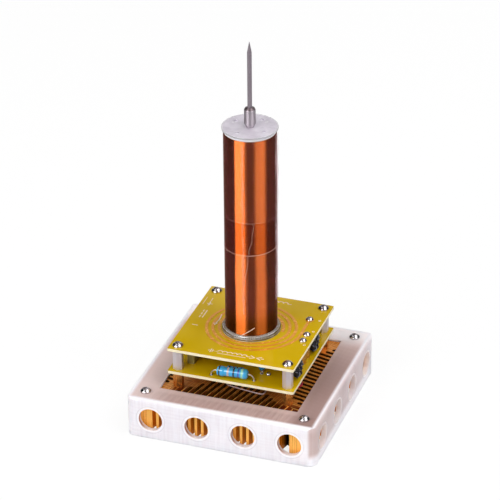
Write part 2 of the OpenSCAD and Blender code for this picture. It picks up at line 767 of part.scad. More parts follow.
module primary_spiral() {
    steps = floor(turn_count * 360 / spiral_step);
    pad_r = tap_head_d / 2 + track_w / 4;
    tap = tap_places[0];
    first = spiral_point(0, 0);
    back = first - tap;
    mouth = asin(track_w / 2 / pad_r);
    pad_from = atan2(back[1], back[0]) - mouth;
    pad_sides = 30;
    outer = [for (i = [0 : steps]) spiral_point(i / steps * turn_count, 1)];
    inner = [for (i = [steps : -1 : 0]) spiral_point(i / steps * turn_count, -1)];
    pad = [for (i = [0 : pad_sides]) let (a = pad_from - (360 - 2 * mouth) * i / pad_sides)
        tap + pad_r * [cos(a), sin(a)]];
    color([0.85, 0.5, 0.15]) translate([0, 0, z_primary_top]) difference() {
        linear_extrude(track_t) polygon(concat(outer, inner, pad));
        translate([tap[0], tap[1], -overrun]) cylinder(d = tap_hole_d, h = track_t + 2 * overrun);
    }
}

module board_screws() {
    color([0.72, 0.71, 0.7]) corners(board_screw_xy) translate([0, 0, z_primary_top])
        pan_screw(screw_d, screw_head_d, screw_head_h, screw_l);
}

module tap_screws() {
    color([0.75, 0.74, 0.72]) for (i = [0 : 2])
        translate([tap_places[i][0], tap_places[i][1], z_primary_top + (i == 0 ? track_t : 0)])
            pan_screw(tap_screw_d, tap_head_d, tap_head_h, tap_screw_l);
}

module ring(outer, inner, h) {
    difference() {
        cylinder(d = outer, h = h);
        translate([0, 0, -overrun]) cylinder(d = inner, h = h + 2 * overrun);
    }
}

module coil_former() {
    color([0.9, 0.89, 0.87]) translate([0, 0, z_primary_top]) ring(former_d, former_bore, former_h);
}

module secondary_winding() {
    color([0.62, 0.26, 0.06]) translate([0, 0, z_primary_top + winding_low]) ring(wound_d, former_d, wound_h);
}

module clear_film() {
    color([0.85, 0.6, 0.4, 0.4]) translate([0, 0, z_primary_top + winding_low]) ring(film_d, wound_d, wound_h);
}

// A clear collar of set resin round the foot of the coil
module foot_collar() {
    top_share = 0.55;
    color([0.8, 0.8, 0.8, 0.6]) translate([0, 0, z_primary_top]) rotate_extrude() polygon([
        [former_d / 2, 0], [collar_d / 2, 0], [collar_d / 2, collar_h * top_share],
        [film_d / 2 + collar_t * top_share, collar_h], [former_d / 2, collar_h]]);
}

// The free end of the winding, lying up across the film at the front of the coil
tail_d = 0.4;
tail_from = -92;
tail_to = -64;
tail_rise = 5;
tail_rings = 10;

module winding_tail() {
    path = [for (i = [0 : tail_rings]) let (
            s = i / tail_rings,
            a = tail_from + (tail_to - tail_from) * s,
            r = film_d / 2 + tail_d / 2
        ) [r * cos(a), r * sin(a), z_primary_top + collar_h + tail_d / 2 + tail_rise * s]];
    refs = [for (i = [0 : tail_rings]) let (a = tail_from + (tail_to - tail_from) * i / tail_rings)
        [cos(a), sin(a), 0]];
    color([0.86, 0.78, 0.74]) tube(path, refs, tail_d / 2, lead_sides);
}

// The cap closes the former, and its bore takes the screw that holds the disc
cap_play = 0.1;

module top_cap() {
    color([0.9, 0.9, 0.92]) translate([0, 0, z_former_top]) difference() {
        union() {
            cylinder(d = wound_d, h = cap_flange_t);
            translate([0, 0, -cap_spigot_h])
                cylinder(d = former_bore - 2 * cap_play, h = cap_spigot_h + cap_flange_t / 2);
        }
        translate([0, 0, -cap_spigot_h - overrun])
            cylinder(d = hole_play_d, h = cap_spigot_h + cap_flange_t + 2 * overrun);
    }
}

module top_disc() {
    hole_turn = 68;
    color([0.82, 0.81, 0.85]) translate([0, 0, z_disc]) difference() {
        cylinder(d = disc_d, h = disc_t);
        translate([0, 0, -overrun]) cylinder(d = hole_play_d, h = disc_t + 2 * overrun);
        for (q = [0 : 3]) rotate([0, 0, hole_turn + 90 * q]) translate([disc_d * disc_hole_share, 0, -overrun])
            cylinder(d = disc_hole_d, h = disc_t + 2 * overrun);
    }
}

holder_web = 0.8;
holder_thread = holder_h - socket_depth - holder_web;

module needle_holder() {
    shoulder = 1.2;
    shoulder_share = 0.33;
    r = holder_d / 2;
    foot_share = 0.32;
    foot_rise_share = 0.6;
    color([0.7, 0.69, 0.7]) translate([0, 0, z_disc_top]) difference() {
        rotate_extrude() polygon([[0, 0], [r * (1 - foot_share), 0], [r, r * foot_rise_share],
            [r, holder_h - shoulder], [r - shoulder * shoulder_share, holder_h - shoulder * shoulder_share],
            [r - shoulder, holder_h], [0, holder_h]]);
        translate([0, 0, holder_h - socket_depth])
            cylinder(d = needle_d + 2 * needle_play, h = socket_depth + overrun);
        translate([0, 0, -overrun]) cylinder(d = hole_play_d, h = holder_thread + overrun);
    }
}

module holder_screw() {
    l = cap_spigot_h + cap_flange_t + disc_t + holder_thread - thread_play;
    color([0.72, 0.71, 0.7]) translate([0, 0, z_former_top - cap_spigot_h]) mirror([0, 0, 1])
        pan_screw(screw_d, screw_head_d, screw_head_h, l);
}

module discharge_needle() {
    tip_d = 0.2;
    r = needle_d / 2;
    total = socket_depth + needle_out;
    color([0.72, 0.7, 0.72]) translate([0, 0, z_holder_top - socket_depth]) rotate_extrude()
        polygon([[0, 0], [r, 0], [r, total - needle_cone], [tip_d / 2, total], [0, total]]);
}

base_housing();
rim_screws();
heatsink();
lower_standoffs();
insulating_pads();
power_transistor_left();
power_transistor_right();
transistor_screws();
driver_board();
upper_standoffs();
large_resistor();
small_resistor();
disc_capacitor();
film_capacitor();
filter_capacitor();
driver_chip();
choke_core_front();
choke_winding_front();
choke_core_rear();
choke_winding_rear();
power_inlet();
inlet_pin();
tap_posts();
red_lead();
pale_lead();
primary_board();
primary_spiral();
board_screws();
tap_screws();
coil_former();
secondary_winding();
clear_film();
foot_collar();
winding_tail();
top_cap();
top_disc();
needle_holder();
holder_screw();
discharge_needle();
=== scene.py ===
"""A desktop resonant transformer on two boards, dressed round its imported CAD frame.

Lengths are in metres and colours are screen values of 0 to 255, unless a comment says otherwise.
"""
import math
import random

import bmesh
import bpy
from mathutils import Matrix, Vector


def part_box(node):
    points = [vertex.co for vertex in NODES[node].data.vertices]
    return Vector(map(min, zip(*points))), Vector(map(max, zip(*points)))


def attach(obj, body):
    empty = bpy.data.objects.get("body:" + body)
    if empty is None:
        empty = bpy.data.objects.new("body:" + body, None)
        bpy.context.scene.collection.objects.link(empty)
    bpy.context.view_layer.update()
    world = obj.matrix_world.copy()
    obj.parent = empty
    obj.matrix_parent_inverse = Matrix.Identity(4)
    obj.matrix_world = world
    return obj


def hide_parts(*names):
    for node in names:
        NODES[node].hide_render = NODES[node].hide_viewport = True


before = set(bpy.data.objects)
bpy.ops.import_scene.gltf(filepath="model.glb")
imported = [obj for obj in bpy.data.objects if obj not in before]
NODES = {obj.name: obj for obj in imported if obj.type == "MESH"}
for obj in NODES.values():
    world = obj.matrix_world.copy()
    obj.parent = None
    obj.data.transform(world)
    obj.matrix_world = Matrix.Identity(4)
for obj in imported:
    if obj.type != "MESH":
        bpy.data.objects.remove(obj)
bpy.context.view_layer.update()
MM = 0.001
BODY = "transformer"

# places in the CAD that materials and added pieces need
VENT_R, VENT_Z, VENT_PITCH = 0.0066, 0.0114, 0.0770 / 3
SINK_HALF, SINK_TOP = 0.04775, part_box("heatsink")[1][2]
FIN_PITCH, FIRST_SLOT, SLOT_LEAN = 0.0036, -0.0382, math.radians(14)
HOLDER_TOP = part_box("needle_holder")[1][2]
PRIMARY_TOP, DRIVER_TOP = 0.0462, 0.0326
FILM_FOOT, FILM_LAP, FILM_SEAM, FILM_TOP = 0.0489, 0.0974, 0.1161, 0.1630
RESISTOR_TURN = math.radians(3.5)
LARGE_RESISTOR_Y, SMALL_RESISTOR_Y = -30.8, -25.76  # millimetres

# where the photograph was taken from: degrees to the right of the front, and as a polar angle
VIEW_DEG = 19.26
FRONT_DEG = -90 + VIEW_DEG


# ---------------------------------------------------------------- helpers
def srgb(*rgb):
    """A linear colour from screen values of 0 to 255."""
    out = [c / 255 / 12.92 if c <= 10 else ((c / 255 + 0.055) / 1.055) ** 2.4 for c in rgb]
    return (*out, 1.0)


def add_object(name, data):
    obj = bpy.data.objects.new(name, data)
    bpy.context.scene.collection.objects.link(obj)
    return obj


def toward(azimuth, elevation):
    """The direction from the part to a place at these angles, in radians."""
    level = math.cos(elevation)
    return Vector((math.sin(azimuth) * level, -math.cos(azimuth) * level, math.sin(elevation)))


def polar(radius, degrees, z):
    a = math.radians(degrees)
    return Vector((radius * math.cos(a), radius * math.sin(a), z))


def grid_faces(bm, rows, closed=False, index=0):
    """Quads between rows of points."""
    made = [[bm.verts.new(p) for p in row] for row in rows]
    for a, b in zip(made, made[1:]):
        n = len(a)
        for i in range(n if closed else n - 1):
            k = (i + 1) % n
            bm.faces.new((a[i], a[k], b[k], b[i])).material_index = index
    return made


def dress(mat, *nodes):
    """Gives CAD nodes their material."""
    for name in nodes:
        data = NODES[name].data
        data.materials.clear()
        data.materials.append(mat)


def piece(name, bm, mats, smooth=False):
    """A new piece that rides on the transformer, from a bmesh and its materials."""
    bmesh.ops.recalc_face_normals(bm, faces=bm.faces)
    data = bpy.data.meshes.new(name)
    bm.to_mesh(data)
    bm.free()
    for mat in mats:
        data.materials.append(mat)
    if smooth:
        data.polygons.foreach_set("use_smooth", [True] * len(data.polygons))
    obj = add_object(name, data)
    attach(obj, BODY)
    return obj


# ---------------------------------------------------------------- camera
# fitted to the photograph; the aim is given sideways and upwards from the middle of the foot
AZIMUTH, ELEVATION, ROLL = (math.radians(a) for a in (19.263, 28.944, -0.450))
DISTANCE, AIM_SIDE, AIM_HEIGHT = 1.52885, -0.000455, 0.0930291
FOCAL_PIXELS, FRAME_PIXELS, SENSOR_MM = 2914.38, 500, 36
CLIP = (0.01, 100)


def make_camera():
    back = toward(AZIMUTH, ELEVATION)
    right = Vector((math.cos(AZIMUTH), math.sin(AZIMUTH), 0))
    up = back.cross(right)
    turned = right * math.cos(ROLL) + up * math.sin(ROLL)
    raised = up * math.cos(ROLL) - right * math.sin(ROLL)
    place = right * AIM_SIDE + Vector((0, 0, AIM_HEIGHT)) + back * DISTANCE
    data = bpy.data.cameras.new("camera")
    data.lens = FOCAL_PIXELS / FRAME_PIXELS * SENSOR_MM
    data.sensor_width, data.sensor_fit = SENSOR_MM, "HORIZONTAL"
    data.clip_start, data.clip_end = CLIP
    cam = add_object("camera", data)
    turn = Matrix((turned, raised, back)).transposed().to_4x4()
    cam.matrix_world = Matrix.Translation(place) @ turn
    bpy.context.scene.camera = cam


make_camera()


# ---------------------------------------------------------------- materials: the node builder
class Look:
    """A Principled material whose nodes read the object's own coordinates.

    In its methods a value is a number or the output of a node.
    """

    def __init__(self, name, color, rough=0.5, metal=0.0, **sockets):
        self.mat = bpy.data.materials.new(name)
        self.mat.use_nodes = True
        self.tree = self.mat.node_tree
        self.bsdf = self.tree.nodes["Principled BSDF"]
        self.put("Base Color", color).put("Roughness", rough).put("Metallic", metal)
        for key, value in sockets.items():
            self.put(key.replace("_", " "), value)
        coord = self.add("ShaderNodeTexCoord")
        self.pos, self.normal = coord.outputs["Object"], coord.outputs["Normal"]
        self.x, self.y, self.z = self.parts(self.pos)
        self.bumped = None

    def add(self, kind, **props):
        node = self.tree.nodes.new(kind)
        for key, value in props.items():
            setattr(node, key, value)
        return node

    def feed(self, socket, value):
        """Links the output of a node to a socket, or sets a plain value on it."""
        if isinstance(value, bpy.types.NodeSocket):
            self.tree.links.new(value, socket)
        else:
            socket.default_value = value

    def put(self, name, value):
        self.feed(self.bsdf.inputs[name], value)
        return self

    def parts(self, vector):
        node = self.add("ShaderNodeSeparateXYZ")
        self.feed(node.inputs[0], vector)
        return node.outputs

    def join(self, *xyz):
        node = self.add("ShaderNodeCombineXYZ")
        for socket, value in zip(node.inputs, xyz):
            self.feed(socket, value)
        return node.outputs[0]

    # arithmetic
    def math(self, kind, *values):
        node = self.add("ShaderNodeMath", operation=kind)
        for socket, value in zip(node.inputs, values):
            self.feed(socket, value)
        return node.outputs[0]

    def plus(self, a, b):
        return self.math("ADD", a, b)

    def minus(self, a, b):
        return self.math("SUBTRACT", a, b)

    def times(self, first, *rest):
        for value in rest:
            first = self.math("MULTIPLY", first, value)
        return first

    def scaled(self, value, factor, base):
        """value * factor + base."""
        return self.math("MULTIPLY_ADD", value, factor, base)

    def most(self, first, *rest):
        for value in rest:
            first = self.math("MAXIMUM", first, value)
        return first

    def size(self, value):
        return self.math("ABSOLUTE", value)

    def above(self, value, limit):
        """1 where value is greater than limit, else 0."""
        return self.math("GREATER_THAN", value, limit)

    def length(self, a, b):
        """The length of a plane vector."""
        return self.math("SQRT", self.plus(self.times(a, a), self.times(b, b)))

    def span(self, value, low, high, to_low=0.0, to_high=1.0, smooth=True):
        """value carried from the range low..high to to_low..to_high, and held there."""
        kind = "SMOOTHSTEP" if smooth else "LINEAR"
        node = self.add("ShaderNodeMapRange", interpolation_type=kind)
        for socket, v in zip(node.inputs, (value, low, high, to_low, to_high)):
            self.feed(socket, v)
        return node.outputs[0]

    def near(self, value, centre, half, soft):
        """1 where value lies within half of centre, fading over soft."""
        linked = isinstance(half, bpy.types.NodeSocket)
        end = self.plus(half, soft) if linked else half + soft
        return self.span(self.size(self.minus(value, centre)), half, end, 1.0, 0.0)

    # places on the part
    def squareness(self):
        """The distance from the axis, measured as on a square."""
        return self.most(self.size(self.x), self.size(self.y))

    def radius(self):
        """The distance from the axis."""
        return self.length(self.x, self.y)

    def from_slot(self):
        """How far a point lies from the middle of the nearest slot of the heatsink, signed."""
        ax, ay = self.size(self.x), self.size(self.y)
        side_on = self.above(ax, ay)
        facing = self.times(self.x, self.times(self.math("SIGN", self.y), -1.0))
        sideways = self.times(self.y, self.math("SIGN", self.x))
        across = self.plus(self.times(sideways, side_on),
                           self.times(facing, self.minus(1.0, side_on)))
        deep = self.minus(SINK_HALF, self.most(ax, ay))
        run = self.minus(across, self.times(deep, math.tan(SLOT_LEAN)))
        start = self.plus(run, FIN_PITCH / 2 - FIRST_SLOT)
        return self.minus(self.math("FLOORED_MODULO", start, FIN_PITCH), FIN_PITCH / 2)

    def from_vent(self, nx, ny):
        """How far a point of a wall lies from the middle of the nearest vent of the base."""
        along = self.plus(self.times(self.x, self.above(self.size(ny), 0.5)),
                          self.times(self.y, self.above(self.size(nx), 0.5)))
        step = self.minus(self.math("FLOORED_MODULO", along, VENT_PITCH), VENT_PITCH / 2)
        return self.length(step, self.minus(self.z, VENT_Z))

    # colour and texture
    def mix(self, factor, a, b, blend="MIX"):
        """From a to b by factor, as colours; a plain number stands for a grey."""
        node = self.add("ShaderNodeMix", data_type="RGBA", blend_type=blend)
        for index, value in ((0, factor), (6, a), (7, b)):
            if index and isinstance(value, (int, float)):
                value = (value, value, value, 1.0)
            self.feed(node.inputs[index], value)
        return node.outputs[2]

    def layered(self, color, *layers):
        """color under layers, each a factor and a colour."""
        for factor, tint in layers:
            color = self.mix(factor, color, tint)
        return color

    def vary(self, color, factor, amount):
        """color made darker and lighter by a factor of 0 to 1."""
        low = tuple(c * (1 - amount) for c in color[:3]) + (1,)
        high = tuple(min(1, c * (1 + amount)) for c in color[:3]) + (1,)
        return self.mix(factor, low, high)

    def stretch(self, scale=(1, 1, 1), turn=(0, 0, 0)):
        """Coordinates for a noise that runs along the axis with the smallest scale."""
        node = self.add("ShaderNodeMapping")
        self.feed(node.inputs["Vector"], self.pos)
        self.feed(node.inputs["Scale"], scale)
        self.feed(node.inputs["Rotation"], turn)
        return node.outputs[0]

    def noise(self, scale, detail=3.0, rough=0.5, vector=None):
        node = self.add("ShaderNodeTexNoise")
        self.feed(node.inputs["Vector"], vector or self.pos)
        for key, value in (("Scale", scale), ("Detail", detail), ("Roughness", rough)):
            self.feed(node.inputs[key], value)
        return node.outputs["Fac"]

    def wave(self, value, period):
        """A sine of value, 0 to 1."""
        angle = self.scaled(value, 2 * math.pi / period, 0.0)
        return self.scaled(self.math("SINE", angle), 0.5, 0.5)

    def relief(self, height, depth, strength=1.0):
        """A bump on top of the bumps so far."""
        node = self.add("ShaderNodeBump")
        self.feed(node.inputs["Distance"], depth)
        self.feed(node.inputs["Strength"], strength)
        self.feed(node.inputs["Height"], height)
        if self.bumped is not None:
            self.feed(node.inputs["Normal"], self.bumped)
        self.bumped = node.outputs[0]
        return self.put("Normal", self.bumped)

    def brushed_round(self):
        """Gloss that spreads up and down a turned or wound part."""
        around = self.add("ShaderNodeTangent", direction_type="RADIAL", axis="Z")
        self.put("Tangent", around.outputs[0]).put("Anisotropic Rotation", 0.25)


# ---------------------------------------------------------------- materials: base and heatsink
# ranges over which the base changes its look: heights, and distances from the axis
RIM_Z, SINK_FOOT_Z, SINK_HEAD_Z = (0.0205, 0.022), (0.0030, 0.0080), (0.0225, 0.019)
SKIN, EDGE, UNDER_RIM = (0.0507, 0.0512), (0.0508, 0.0514), (0.0492, 0.0512)
WALL_INSIDE, WALL_OUTSIDE = (0.0494, 0.0497), (0.0526, 0.0524)
BASE_WHITE, BASE_BRIGHT, LOOP_WHITE = srgb(237, 234, 240), srgb(252, 250, 252), srgb(252, 251, 253)


def rim_tone(look, strokes, cloud):
    """The thin rim: print strokes, painted shade where the slots of the heatsink lie under it, and
    painted light and shade across it.
    """
    slots = look.near(look.from_slot(), 0.0, 0.0006, 0.0010)
    right = look.times(look.span(look.x, 0.034, 0.042), look.span(look.y, 0.046, 0.006))
    return look.layered(
        # painted shade over the slots of the heatsink under the rim
        look.mix(look.times(slots, 0.32), srgb(180, 152, 147), srgb(154, 122, 116)),
        (look.span(strokes, 0.3, 0.7, 0.0, 0.36, False), srgb(210, 184, 180)),
        (look.span(cloud, 0.45, 0.75, 0.0, 0.3), srgb(196, 172, 170)),
        # painted light and shade: paler to the left, inside the front edge and at the back; darker
        # to the right
        (look.span(look.x, -0.026, -0.050, 0.0, 0.65), srgb(236, 214, 210)),
        (look.span(look.y, -0.0435, -0.0405, 0.0, 0.5), srgb(216, 190, 186)),
        (look.span(look.y, 0.03, 0.048, 0.0, 0.95), srgb(252, 242, 244)),
        (look.times(right, 0.7), srgb(138, 108, 102)))


def printed_plastic():
    """Translucent printed plastic: the cavity and the heatsink show through as a mauve tint; the
    right wall has painted shade, and the bores and the right wall's foot a painted glow.
    """
    look = Look("printed_plastic", BASE_WHITE, 0.42, Subsurface_Weight=0.5, Subsurface_Scale=0.004)
    look.put("Subsurface Radius", (1.0, 0.85, 0.8)).put("Specular IOR Level", 0.45)
    nx, ny, nz = look.parts(look.normal)
    far = look.squareness()
    outer = look.span(far, *SKIN)
    top = look.times(look.span(nz, 0.6, 0.95), look.span(look.z, *RIM_Z))
    cloud, patch, uneven = look.noise(60, 4, 0.6), look.noise(22, 2, 0.5), look.noise(160, 2)
    strokes = look.noise(1100, 3, 0.65, look.stretch((1, 0.06, 1), (0, 0, math.radians(45))))
    # painted shade on the right wall, over the heights where the heatsink stands behind it; darker
    # towards the front
    behind = look.times(look.span(look.z, *SINK_FOOT_Z), look.span(look.z, *SINK_HEAD_Z, 0.9, 1.0))
    turned = look.times(look.span(nx, 0.08, 0.5), look.span(look.y, 0.05, 0.036))
    shade = look.mix(look.span(look.y, -0.05, -0.012), srgb(172, 126, 112), srgb(204, 182, 182))
    shade = look.layered(shade, (look.span(look.y, -0.005, 0.034), srgb(222, 208, 210)),
                         (look.span(patch, 0.4, 0.7, 0.0, 0.3), srgb(216, 196, 197)))
    # the layers of the print run round the walls, crossed by faint upright streaks
    streaks = look.noise(700, 3, 0.6, look.stretch((1, 1, 0.05)))
    bands = look.noise(900, 3, 0.6, look.stretch((0.04, 0.04, 1)))
    grain = look.scaled(streaks, 0.6, look.times(bands, 0.4))
    wall = look.mix(look.times(look.times(behind, turned), outer), BASE_WHITE, shade)
    wall = look.mix(look.span(grain, 0.42, 0.75, 0.0, 0.4, False), wall, srgb(214, 200, 208),
                    "MULTIPLY")
    wall = look.mix(look.span(patch, 0.45, 0.7, 0.0, 0.3), wall, BASE_BRIGHT)
    # two wall loops are printed round each vent; the bores in the side walls get painted shade,
    # and every bore a painted glow for the light that comes through
    away = look.from_vent(nx, ny)
    flat = look.minus(1.0, look.span(nz, 0.3, 0.6))
    ring = look.times(look.near(away, VENT_R + 0.0014, 0.00008, 0.0003), flat)
    inner = look.times(look.near(away, VENT_R + 0.0006, 0.0003, 0.0003), flat)
    bore = look.times(look.span(away, VENT_R + 0.0001, VENT_R + 0.0003, 1.0, 0.0),
                      look.times(look.span(far, *WALL_INSIDE), look.span(far, *WALL_OUTSIDE)))
    side = look.above(look.size(look.x), look.size(look.y))
    look.put("Base Color", look.layered(
        wall,
        (look.times(top, look.span(far, *UNDER_RIM, 1.0, 0.0)), rim_tone(look, strokes, cloud)),
        # a painted highlight along the outer edge of the rim
        (look.times(top, look.span(far, *EDGE, 0.0, 0.3)), BASE_BRIGHT),
        (look.times(inner, look.span(uneven, 0.3, 0.7, 0.15, 0.6)), LOOP_WHITE),
        (look.times(ring, look.span(uneven, 0.3, 0.7, 0.4, 0.1)), srgb(186, 176, 190)),
        (look.times(bore, look.times(side, 0.8)), shade)))
    # a painted glow for the light inside the plastic: in the bores, and in the foot of the right
    # wall
    foot = look.times(look.minus(1.0, behind), look.times(turned, outer))
    glow = look.times(bore, look.scaled(side, -0.28, 0.36))
    look.put("Emission Color", look.mix(look.span(nx, -0.2, 0.2), srgb(214, 196, 196),
                                        srgb(240, 234, 238)))
    look.put("Emission Strength", look.scaled(foot, 0.13, glow))
    look.relief(look.mix(top, look.wave(look.z, 0.0003), strokes), 0.00003, 0.4)
    look.relief(look.noise(500, 2), 0.00008, 0.2)
    look.put("Roughness", look.span(cloud, 0.2, 0.8, 0.34, 0.5))
    return look.mat


# how far the painted glint lies from the middle of a slot, and the distances from the axis over
# which the painted shade in the slots gives way to their gold
SLOT_GLINT, SLOT_DAWN = 0.00108, (0.0405, 0.0466)


def fin_tops(look, front, sawn, stain):
    """Sawn faces with painted glints at the slot edges, painted light on the right, and painted
    shade in front where the boards shade them.
    """
    slot = look.from_slot()
    painted_glint = look.near(look.size(slot), look.scaled(front, 0.00012, SLOT_GLINT),
                    look.scaled(front, 0.00016, 0.00010), 0.00014)
    # in front the painted glint stays only on the edges that face the key light
    unlit = look.times(front, look.math("LESS_THAN", slot, 0.0))
    painted_glint = look.times(painted_glint, look.minus(1.0, unlit))
    return look.layered(
        look.mix(sawn, srgb(190, 106, 38), srgb(240, 162, 76)),
        (look.span(stain, 0.5, 0.8, 0.0, 0.5), srgb(150, 78, 28)),
        # painted light on the right, out of the boards' shade
        (look.span(look.x, 0.032, 0.036, 0.0, 0.5), srgb(216, 132, 54)),
        # painted shade of the boards over the front
        (look.times(front, 0.97), srgb(92, 26, 6)),
        (look.times(painted_glint, look.span(stain, 0.3, 0.55, 0.25, 0.95)), srgb(255, 190, 100)))


def gold_aluminium():
    """Gold aluminium: bright ends and tops of the fins, painted shade inside the slots, and a
    painted glow.
    """
    look = Look("gold_aluminium", srgb(250, 190, 90), 0.32, 0.85, Specular_IOR_Level=0.15)
    top = look.span(look.size(look.parts(look.normal)[2]), 0.6, 0.9)
    far = look.squareness()
    drawn = look.noise(900, 4, 0.7, look.stretch((1, 1, 0.02)))
    sawn = look.noise(1200, 3, 0.7, look.stretch((0.05, 1, 1), (0, 0, 0.6)))
    outward = look.span(far, *SLOT_DAWN)
    ends = look.span(far, SINK_HALF - 0.00012, SINK_HALF - 0.00004)
    front = look.times(look.span(look.y, -0.026, -0.034), look.span(look.x, -0.036, -0.029))
    # painted shade: the walls of the slots are dark deep inside and turn gold towards the outside
    slot_painted_shade = look.mix(outward, srgb(44, 12, 4), srgb(204, 116, 22))
    end = look.mix(drawn, srgb(242, 162, 54), srgb(255, 206, 120))
    look.put("Base Color", look.mix(top, look.mix(ends, slot_painted_shade, end),
                                    fin_tops(look, front, sawn, look.noise(140, 3, 0.6))))
    look.put("Metallic", look.mix(top, look.scaled(ends, -0.4, 0.85), 0.6))
    # a painted glow for what little light the pale base lets through to the fins, and for what
    # falls on their heads
    painted_glow_through = look.scaled(ends, 0.02, look.times(outward, 0.2))
    painted_glow_lip = look.times(look.span(look.z, SINK_TOP - 0.0030, SINK_TOP - 0.0002),
                     look.scaled(front, 0.04, 0.03))
    look.put("Emission Color", look.mix(ends, srgb(206, 116, 16), srgb(250, 178, 84)))
    look.put("Emission Strength", look.times(look.most(painted_glow_through, painted_glow_lip), look.minus(1.0, top)))
    look.put("Roughness", look.mix(top, look.span(drawn, 0.3, 0.7, 0.2, 0.38),
                                   look.span(sawn, 0.3, 0.7, 0.26, 0.46)))
    look.relief(drawn, 0.00004, 0.5)
    look.relief(sawn, 0.00003, 0.4)
    return look.mat


# ---------------------------------------------------------------- materials: plain ones
def plain_metal(name, color, rough, scale=(1, 1, 1), metal=1.0, amount=0.12):
    """Metal with fine marks, drawn out along the axis with the smallest scale, and stains."""
    look = Look(name, color, rough, metal)
    marks = look.noise(2500, 3, 0.6, look.stretch(scale))
    shade = look.scaled(marks, 0.6, look.times(look.noise(250, 3, 0.6), 0.4))
    look.put("Base Color", look.vary(color, shade, amount))
    look.put("Roughness", look.span(shade, 0.25, 0.75, rough * 0.75, rough * 1.3))
    look.relief(marks, 0.00002, 0.4)
    return look.mat


def plain_plastic(name, color, rough, **sockets):
    """Plastic with a fine grain and a slow change of tone."""
    look = Look(name, color, rough, 0.0, **sockets)
    grains = look.noise(2200, 3, 0.6)
    shade = look.scaled(grains, 0.4, look.times(look.noise(180, 3, 0.5), 0.6))
    look.put("Base Color", look.vary(color, shade, 0.1))
    look.put("Roughness", look.span(shade, 0.25, 0.75, rough * 0.8, rough * 1.2))
    look.relief(grains, 0.00003, 0.3)
    return look.mat


# ---------------------------------------------------------------- materials: coil
def enamelled_copper():
    """Fine close-wound wire: each turn shows its upper half, so gloss spreads up and down only."""
    low, high = srgb(156, 76, 30), srgb(176, 90, 40)
    look = Look("enamelled_copper", low, 0.22, 0.92,
                Anisotropic=0.97, Coat_Weight=0.1, Coat_Roughness=0.04)
    look.brushed_round()
    rows = look.noise(1500, 2, 0.6, look.stretch((0.01, 0.01, 1)))
    broad = look.noise(160, 3, 0.5, look.stretch((0.1, 0.1, 1)))
    # redder under the two layers of film, and at the foot
    lap = look.times(look.span(look.z, 0.0973, 0.0977), look.span(look.z, 0.1163, 0.1159))
    look.put("Base Color", look.layered(
        look.mix(look.scaled(rows, 0.5, look.times(broad, 0.5)), low, high),
        (look.times(lap, 0.85), srgb(152, 62, 0)),
        (look.span(look.z, 0.066, 0.053, 0.0, 0.8), srgb(132, 60, 3))))
    # the upward tilt of the turns, with a slow sideways waver where the film is loose
    sway = look.minus(look.noise(70, 3, 0.5, look.stretch((1, 1, 0.35))), 0.5)
    loose = look.times(look.span(look.z, 0.07, 0.085), look.span(look.z, 0.0972, 0.092))
    sway = look.times(sway, look.scaled(loose, 0.16, 0.05))
    nx, ny, _ = look.parts(look.normal)
    unit = look.add("ShaderNodeVectorMath", operation="NORMALIZE")
    look.feed(unit.inputs[0], look.join(
        look.minus(nx, look.times(ny, sway)), look.plus(ny, look.times(nx, sway)),
        look.scaled(look.wave(look.z, 0.0011), 0.12, 0.56)))
    look.put("Normal", unit.outputs[0])
    return look.mat


# fine bright rings of painted highlight on the resin at the coil's foot: height or radius, and
# half width
RESIN_RINGS_Z, RESIN_FLOOR_Z, RESIN_EDGE_R = ((0.0485, 0.0001), (0.0474, 0.00012)), 0.04635, 0.0144


def clear_resin():
    """Clear set resin: fine bright rings of painted highlight over a glassy body that lets the
    board show.
    """
    look = Look("clear_resin", srgb(226, 224, 226), 0.08)
    look.put("Specular IOR Level", 0.7)
    swirl = look.noise(500, 3, 0.6)
    height = look.scaled(look.minus(swirl, 0.5), 0.0005, look.z)
    ring_highlights = [look.near(height, z, half, half + 0.00002) for z, half in RESIN_RINGS_Z]
    painted_highlights = look.most(*ring_highlights, look.near(look.z, RESIN_FLOOR_Z, 0.0001, 0.0001))
    painted_highlights = look.times(painted_highlights, look.span(look.noise(160, 2), 0.3, 0.6, 0.45, 1.0))
    edge = look.near(look.radius(), RESIN_EDGE_R, 0.0001, 0.0001)
    painted_highlights = look.most(painted_highlights, look.times(edge, 0.6))
    look.put("Alpha", look.scaled(painted_highlights, 0.55, look.span(swirl, 0.3, 0.7, 0.25, 0.45)))
    look.put("Base Color", look.mix(painted_highlights, srgb(122, 110, 94), srgb(236, 234, 238)))
    look.relief(swirl, 0.0001, 0.4)
    return look.mat


# radii over which the edge turns bright, from wear and a painted highlight, and the places of two
# painted glints
DISC_EDGE_R = (0.0138, 0.0145)
GLINT_SPOTS = ((-0.0092, 0.0020), (0.0067, 0.0074))


def dull_disc():
    """A stamped disc: dull mottled face, a bright edge that is worn and carries a painted
    highlight, and two painted glints.
    """
    look = Look("disc_metal", srgb(206, 198, 208), 0.5, 0.5)
    mottle = look.noise(420, 4, 0.65)
    face = look.mix(mottle, srgb(184, 176, 188), srgb(240, 233, 243))
    face = look.mix(look.span(look.noise(110, 3, 0.6), 0.4, 0.7, 0.0, 0.4), face,
                    srgb(240, 235, 242))
    # the bright edge is wear with a painted highlight; the two spots are painted glints
    tone_mix = look.span(look.radius(), *DISC_EDGE_R)
    for x, y in GLINT_SPOTS:
        off = look.length(look.minus(look.x, x), look.minus(look.y, y))
        spot = look.times(look.near(off, 0.0, 0.0007, 0.0008), look.span(mottle, 0.35, 0.6))
        tone_mix = look.most(tone_mix, spot)
    look.put("Base Color", look.mix(tone_mix, face, srgb(250, 247, 251)))
    look.put("Roughness", look.mix(tone_mix, look.span(mottle, 0.3, 0.7, 0.42, 0.6), 0.25))
    look.put("Metallic", look.mix(tone_mix, 0.45, 0.9))
    look.relief(mottle, 0.00006, 0.5)
    return look.mat


